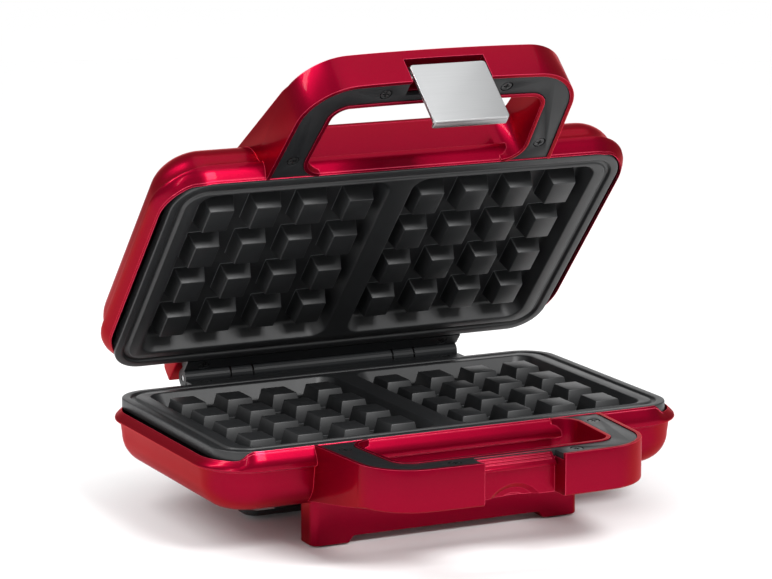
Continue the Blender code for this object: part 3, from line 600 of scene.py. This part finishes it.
def non_stick():
    """Sprayed non-stick coating: near black, satin, with a fine pebbled skin and a painted pale grey
    highlight along every edge.
    """
    material, shader, node, tree = new_material("non_stick")
    place_of = node("ShaderNodeTexCoord").outputs["Object"]
    cloud = noise(node, place_of, 30)
    dark, light = (0.0075, 0.0080, 0.0087, 1), (0.0135, 0.0143, 0.0153, 1)
    tone = mixed(tree, mapped(node, cloud, 0.1, 0.9), dark, light)
    # Painted highlight: the base colour turns pale grey along every edge, standing in for light caught by
    # the rounded block and rim edges.
    tone = mixed(tree, near_edges(node, 0.0004, 0.88), tone, (0.150, 0.155, 0.162, 1))
    tree.links.new(tone, shader.inputs["Base Color"])
    tree.links.new(mapped(node, noise(node, place_of, 90, 5), 0.38, 0.50), shader.inputs["Roughness"])
    skin = noise(node, place_of, 1500, 3)
    bump = node("ShaderNodeBump", Height=skin, Strength=0.18, Distance=0.00015)
    tree.links.new(bump.outputs["Normal"], shader.inputs["Normal"])
    shader.inputs["Specular IOR Level"].default_value = 0.64
    return material


COATING = non_stick()


def casting(name):
    """The plate: border, groove and cells, with the rim's edges rounded."""
    face = outline(name, -0.0003, PLATE_BACK, PLATE_FRONT, PLATE_FRONT, PLATE_HALF, PLATE_HALF,
                   PLATE_CORNER, PLATE_CORNER)
    thicken(face, -0.0056)
    open_mesh(face)
    pick("faces", lambda f: f.normal.z < -0.9)
    bpy.ops.mesh.inset(thickness=0.0055)
    bpy.ops.mesh.extrude_region_move(TRANSFORM_OT_translate={"value": (0, 0, -0.0064)})
    pick("faces", lambda f: f.normal.z > 0.9 and f.calc_center_median().z > -0.001)
    for inwards, down in ((0.0040, 0), (0.0006, -0.0012), (0.0018, 0), (0.0006, 0.0012)):
        bpy.ops.mesh.inset(thickness=inwards, depth=down)
    close_mesh()
    for sign in (-1, 1):
        x0, x1 = sorted((sign * CELL_X[0], sign * CELL_X[1]))
        cell = block("cell", (x0, CELL_Y[0], -CELL_DEPTH), (x1, CELL_Y[1], 0.0026))
        middle = Vector(((x0 + x1) / 2, sum(CELL_Y) / 2))
        for corner in cell.data.vertices:
            slope = 0.0030 * (-0.0003 - corner.co.z) / (CELL_DEPTH - 0.0003)
            corner.co.x -= slope if corner.co.x > middle.x else -slope
            corner.co.y -= slope if corner.co.y > middle.y else -slope
        open_mesh(cell)
        pick("edges", lambda edge: abs(edge.verts[0].co.z - edge.verts[1].co.z) > 0.005)
        bpy.ops.mesh.bevel(offset=0.0075, segments=10, affect="EDGES")
        pick("edges", lambda edge: all(v.co.z < -CELL_DEPTH + 1e-5 for v in edge.verts))
        bpy.ops.mesh.bevel(offset=0.0015, segments=4, affect="EDGES")
        close_mesh()
        cut(face, cell)
    soften(face, 0.0006, sharper_than=40)
    return face


def waffle_block(x, y):
    """One drafted block, its edges rounded by the coating."""
    wide, long = BLOCK_TOP[0] / 2, BLOCK_TOP[1] / 2
    made = block("block", (x - wide, y - long, -CELL_DEPTH - 0.0005), (x + wide, y + long, -0.0003))
    for corner in made.data.vertices:
        if corner.co.z < -0.005:
            corner.co.x += BLOCK_DRAFT if corner.co.x > x else -BLOCK_DRAFT
            corner.co.y += BLOCK_DRAFT if corner.co.y > y else -BLOCK_DRAFT
    soften(made, 0.0004, sharper_than=40)
    return made


for half, prefix in (("base", "lower"), ("lid", "upper")):
    plate = casting(prefix + "_plate")
    first = waffle_block(0, 0)
    blocks = []
    for sign in (-1, 1):
        for column in range(4):
            for row in range(4):
                copy = first.copy()
                copy.data = first.data.copy()
                bpy.context.scene.collection.objects.link(copy)
                x = sign * (BLOCK_FIRST[0] + column * BLOCK_PITCH[0])
                copy.data.transform(Matrix.Translation((x, BLOCK_FIRST[1] + row * BLOCK_PITCH[1], 0)))
                blocks.append(copy)
    bpy.data.objects.remove(first)
    plate = merged(plate, *blocks)
    place(plate, half, COATING)
    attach(plate, half)
    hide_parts(prefix + "_cooking_plate")

# ---------------------------------------------------------------------------------------------------------
# The latch: a satin stainless plate with a bent lip at its foot, curled round a pin between the lid's
# ears. Its hook goes under the base's catch when the closed handles are squeezed together.

LATCH_Y, LATCH_Z, LATCH_HALF = -0.1242, 0.0078, 0.0193
CURL_RADIUS, PIN_HOLE = 0.0030, 0.0016
PLATE_OUT, PLATE_IN, LATCH_FOOT, LATCH_TOP = -0.1288, -0.1268, -0.0249, 0.0092


def satin_steel():
    """Stainless sheet brushed side to side: long fine scratches, a faint cloudiness and a soft sheen."""
    material, shader, node, tree = new_material("satin_steel")
    place_of = node("ShaderNodeTexCoord").outputs["Object"]
    stretch = node("ShaderNodeMapping", Vector=place_of)
    stretch.inputs["Scale"].default_value = (40, 5200, 5200)
    brushing = noise(node, stretch.outputs["Vector"], 1, 5)
    cloud = noise(node, place_of, 45)
    bright, grey = (0.50, 0.505, 0.51, 1), (0.40, 0.405, 0.41, 1)
    tree.links.new(mixed(tree, mapped(node, brushing, 0.0, 1.0), grey, bright), shader.inputs["Base Color"])
    rough = node("ShaderNodeMath", Value=mapped(node, brushing, 0.26, 0.40))
    rough.operation = "ADD"
    tree.links.new(mapped(node, cloud, -0.04, 0.04), rough.inputs[1])
    tree.links.new(rough.outputs["Value"], shader.inputs["Roughness"])
    bump = node("ShaderNodeBump", Height=brushing, Strength=0.18, Distance=0.00006)
    tree.links.new(bump.outputs["Normal"], shader.inputs["Normal"])
    shader.inputs["Metallic"].default_value = 1
    return material


SATIN = satin_steel()


def latch():
    """The plate, its lip at the foot, the curl round the pin and the hook, drawn with the lid closed."""
    plate = block("latch", (-LATCH_HALF, PLATE_OUT, LATCH_FOOT), (LATCH_HALF, PLATE_IN, LATCH_TOP))
    open_mesh(plate)
    pick("edges", lambda edge: all(v.co.z < LATCH_FOOT + 1e-5 for v in edge.verts)
         and abs(edge.verts[0].co.x - edge.verts[1].co.x) < 1e-5)
    bpy.ops.mesh.bevel(offset=0.0016, segments=5, affect="EDGES")
    pick("edges", lambda edge: all(v.co.z > LATCH_TOP - 1e-5 for v in edge.verts)
         and abs(edge.verts[0].co.x - edge.verts[1].co.x) < 1e-5)
    bpy.ops.mesh.bevel(offset=0.0016, segments=5, affect="EDGES")
    close_mesh()
    lip = block("lip", (-LATCH_HALF + 0.0006, PLATE_OUT + 0.0005, LATCH_FOOT),
                (LATCH_HALF - 0.0006, -0.1240, LATCH_FOOT + 0.0016))
    curl_half = LATCH_HALF - 0.0006
    left, right = (-curl_half, LATCH_Y, LATCH_Z), (curl_half, LATCH_Y, LATCH_Z)
    curl = rod("curl", left, right, CURL_RADIUS, 40)
    cut(curl, rod("eye", (-0.03, LATCH_Y, LATCH_Z), (0.03, LATCH_Y, LATCH_Z), PIN_HOLE, 32))
    hook = block("hook", (-0.0120, PLATE_OUT + 0.0005, -0.0082), (0.0120, -0.1223, -0.0073))
    parts = [plate, lip, curl, hook]
    for part in parts:
        soften(part, 0.00035)
    return merged(*parts)


plate = latch()
place(plate, "base", SATIN)
plate.data.transform(Matrix.Translation(-ORIGIN))
to_hinge = Matrix.Translation((0, HINGE_Y, 0))
opened = to_hinge @ Matrix.Rotation(-OPENED, 4, "X") @ to_hinge.inverted()
plate.data.transform(Matrix.Translation(ORIGIN) @ opened)
plate.name = "latch"
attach(plate, "latch")
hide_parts("latch_plate")

# ---------------------------------------------------------------------------------------------------------
# The hinge: a black moulded strip behind each plate carries the knuckles, held by two screws, and two
# short steel pins join them. The hooks for winding the cord and its grommet are black plastic too.


def black_gloss():
    """Black polypropylene straight from a polished mould, with faint flow marks."""
    material, shader, node, tree = new_material("black_gloss")
    place_of = node("ShaderNodeTexCoord").outputs["Object"]
    cloud = noise(node, place_of, 40)
    dark, light = (0.008, 0.0085, 0.009, 1), (0.014, 0.015, 0.016, 1)
    tree.links.new(mixed(tree, mapped(node, cloud, 0.1, 0.9), dark, light), shader.inputs["Base Color"])
    tree.links.new(mapped(node, noise(node, place_of, 120, 5), 0.20, 0.30), shader.inputs["Roughness"])
    bump = node("ShaderNodeBump", Height=noise(node, place_of, 300, 2), Strength=0.05, Distance=0.0002)
    tree.links.new(bump.outputs["Normal"], shader.inputs["Normal"])
    return material


GLOSS = black_gloss()


def coat(material, *words):
    """Gives a material to the CAD nodes whose names hold one of some words."""
    for name, node_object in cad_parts.items():
        if any(word in name for word in words):
            node_object.data.materials.clear()
            node_object.data.materials.append(material)


coat(BLACK, "hinge_block")
coat(GLOSS, "cord_hook", "cord_gland")

# ---------------------------------------------------------------------------------------------------------
# Small bought-in pieces: steel pins, rubber pads under the feet, and the two lamp lenses in the lid.


def plain_steel():
    """Drawn steel with length-wise marks and a slight bloom."""
    material, shader, node, tree = new_material("drawn_steel")
    place_of = node("ShaderNodeTexCoord").outputs["Object"]
    stretch = node("ShaderNodeMapping", Vector=place_of)
    stretch.inputs["Scale"].default_value = (60, 2400, 2400)
    marks = noise(node, stretch.outputs["Vector"], 1, 4)
    tone = mixed(tree, marks, (0.42, 0.42, 0.42, 1), (0.60, 0.60, 0.61, 1))
    tree.links.new(tone, shader.inputs["Base Color"])
    tree.links.new(mapped(node, marks, 0.22, 0.42), shader.inputs["Roughness"])
    shader.inputs["Metallic"].default_value = 1
    return material


def pad_rubber():
    """Grey-black rubber with a dusty, pitted skin."""
    material, shader, node, tree = new_material("pad_rubber")
    place_of = node("ShaderNodeTexCoord").outputs["Object"]
    dust = noise(node, place_of, 380, 6)
    tone = mixed(tree, dust, (0.012, 0.012, 0.012, 1), (0.040, 0.039, 0.038, 1))
    tree.links.new(tone, shader.inputs["Base Color"])
    tree.links.new(mapped(node, dust, 0.6, 0.85), shader.inputs["Roughness"])
    bump = node("ShaderNodeBump", Height=noise(node, place_of, 1800, 3), Strength=0.25, Distance=0.0001)
    tree.links.new(bump.outputs["Normal"], shader.inputs["Normal"])
    return material


def lens_plastic(name, colour, deep):
    """Tinted clear lens plastic, slightly cloudy inside."""
    material, shader, node, tree = new_material(name)
    place_of = node("ShaderNodeTexCoord").outputs["Object"]
    cloud = noise(node, place_of, 500, 3)
    tree.links.new(mixed(tree, cloud, deep, colour), shader.inputs["Base Color"])
    tree.links.new(mapped(node, cloud, 0.10, 0.22), shader.inputs["Roughness"])
    shader.inputs["Transmission Weight"].default_value = 0.35
    shader.inputs["IOR"].default_value = 1.49
    return material


coat(plain_steel(), "hinge_pin", "latch_pin")
coat(pad_rubber(), "foot_pad")
coat(lens_plastic("amber_lens", (0.75, 0.16, 0.02, 1), (0.40, 0.06, 0.01, 1)), "power_lamp_lens")
coat(lens_plastic("green_lens", (0.05, 0.42, 0.10, 1), (0.02, 0.20, 0.05, 1)), "ready_lamp_lens")

# ---------------------------------------------------------------------------------------------------------
# What is sealed inside: steel-sheathed heating elements under the plates, bright heat shields, and the
# ceramic thermostat, thermal fuse and terminal block.


def scaled_sheath():
    """Heating-element sheath, dulled and browned by heat."""
    material, shader, node, tree = new_material("element_sheath")
    place_of = node("ShaderNodeTexCoord").outputs["Object"]
    heat = noise(node, place_of, 60, 6)
    tone = mixed(tree, heat, (0.20, 0.17, 0.15, 1), (0.34, 0.33, 0.32, 1))
    tree.links.new(tone, shader.inputs["Base Color"])
    tree.links.new(mapped(node, heat, 0.4, 0.65), shader.inputs["Roughness"])
    shader.inputs["Metallic"].default_value = 0.8
    return material


def rolled_aluminium():
    """Bright rolled aluminium sheet with a fine lay and faint dents."""
    material, shader, node, tree = new_material("rolled_aluminium")
    place_of = node("ShaderNodeTexCoord").outputs["Object"]
    stretch = node("ShaderNodeMapping", Vector=place_of)
    stretch.inputs["Scale"].default_value = (30, 1800, 1800)
    lay = noise(node, stretch.outputs["Vector"], 1, 4)
    tone = mixed(tree, lay, (0.70, 0.70, 0.70, 1), (0.84, 0.84, 0.85, 1))
    tree.links.new(tone, shader.inputs["Base Color"])
    tree.links.new(mapped(node, lay, 0.22, 0.38), shader.inputs["Roughness"])
    bump = node("ShaderNodeBump", Height=noise(node, place_of, 90, 3), Strength=0.1, Distance=0.0004)
    tree.links.new(bump.outputs["Normal"], shader.inputs["Normal"])
    shader.inputs["Metallic"].default_value = 1
    return material


def steatite():
    """Cream steatite ceramic with a dry, speckled face."""
    material, shader, node, tree = new_material("steatite")
    place_of = node("ShaderNodeTexCoord").outputs["Object"]
    specks = noise(node, place_of, 700, 5)
    tone = mixed(tree, specks, (0.58, 0.55, 0.48, 1), (0.74, 0.72, 0.66, 1))
    tree.links.new(tone, shader.inputs["Base Color"])
    tree.links.new(mapped(node, specks, 0.55, 0.75), shader.inputs["Roughness"])
    return material


coat(scaled_sheath(), "heating_element")
coat(rolled_aluminium(), "heat_shield")
coat(steatite(), "thermostat", "thermal_fuse", "terminal_block")

# ---------------------------------------------------------------------------------------------------------
# The studio: a white floor that fades out all round, wide soft lights, and the camera in front and above.


def floor_paint():
    """Matt white paint with a barely visible mottle, fading into the white surroundings."""
    material, shader, node, tree = new_material("studio_floor")
    place_of = node("ShaderNodeTexCoord").outputs["Object"]
    mottle = noise(node, place_of, 6)
    tone = mixed(tree, mottle, (0.86, 0.86, 0.86, 1), (0.90, 0.90, 0.90, 1))
    tree.links.new(tone, shader.inputs["Base Color"])
    shader.inputs["Roughness"].default_value = 0.8
    distance = node("ShaderNodeVectorMath")
    distance.operation = "LENGTH"
    tree.links.new(place_of, distance.inputs[0])
    faded = node("ShaderNodeMapRange", Value=distance.outputs["Value"])
    faded.inputs["From Min"].default_value = 2.2
    faded.inputs["From Max"].default_value = 0.7
    faded.interpolation_type = "SMOOTHSTEP"
    tree.links.new(faded.outputs["Result"], shader.inputs["Alpha"])
    return material


bpy.ops.object.select_all(action="DESELECT")
bpy.ops.mesh.primitive_plane_add(size=12, location=(0, 0, -0.0002))
floor = added("floor")
floor.data.materials.append(floor_paint())

TARGET = Vector((-0.00363, 0.017464, 0.10547))
BACK = Vector((-0.4312, -0.8810, 0.1944))
bpy.ops.object.camera_add(location=TARGET + BACK * 1.6427, rotation=BACK.to_track_quat("Z", "Y").to_euler())
camera = bpy.context.object
camera.data.lens = 160.65
camera.data.sensor_width = 36
camera.data.clip_end = 30
bpy.context.scene.camera = camera


def soft_light(name, place_at, size, power, aim=(0, 0, 0.10)):
    place_at = Vector(place_at)
    turn = (place_at - Vector(aim)).to_track_quat("Z", "Y").to_euler()
    bpy.ops.object.light_add(type="AREA", location=place_at, rotation=turn)
    light = bpy.context.object
    light.name = name
    light.data.shape = "RECTANGLE"
    light.data.size, light.data.size_y = size
    light.data.energy = power
    return light


soft_light("top", (0.3, -0.1, 1.5), (1.6, 1.2), 7)
soft_light("strip", (-0.9, 0.3, 1.2), (0.12, 1.0), 9)
soft_light("left", (-1.2, -0.8, 0.8), (0.10, 0.9), 5)
soft_light("front", (0.2, -1.35, 1.25), (0.6, 0.5), 22)
soft_light("back", (0.9, 1.9, 0.5), (2.2, 0.7), 5)
world = bpy.data.worlds.new("studio")
world.use_nodes = True
surroundings = world.node_tree.nodes["Background"]
seen = world.node_tree.nodes.new("ShaderNodeLightPath")
around = world.node_tree.nodes.new("ShaderNodeMapRange")
around.inputs["To Min"].default_value = 0.70
around.inputs["To Max"].default_value = 0.38
behind = world.node_tree.nodes.new("ShaderNodeMapRange")
behind.inputs["To Max"].default_value = 1.0
world.node_tree.links.new(seen.outputs["Is Glossy Ray"], around.inputs["Value"])
world.node_tree.links.new(seen.outputs["Is Camera Ray"], behind.inputs["Value"])
world.node_tree.links.new(around.outputs["Result"], behind.inputs["To Min"])
world.node_tree.links.new(behind.outputs["Result"], surroundings.inputs["Strength"])
surroundings.inputs["Color"].default_value = (1, 1, 1, 1)
bpy.context.scene.world = world
bpy.context.scene.view_settings.view_transform = "Standard"
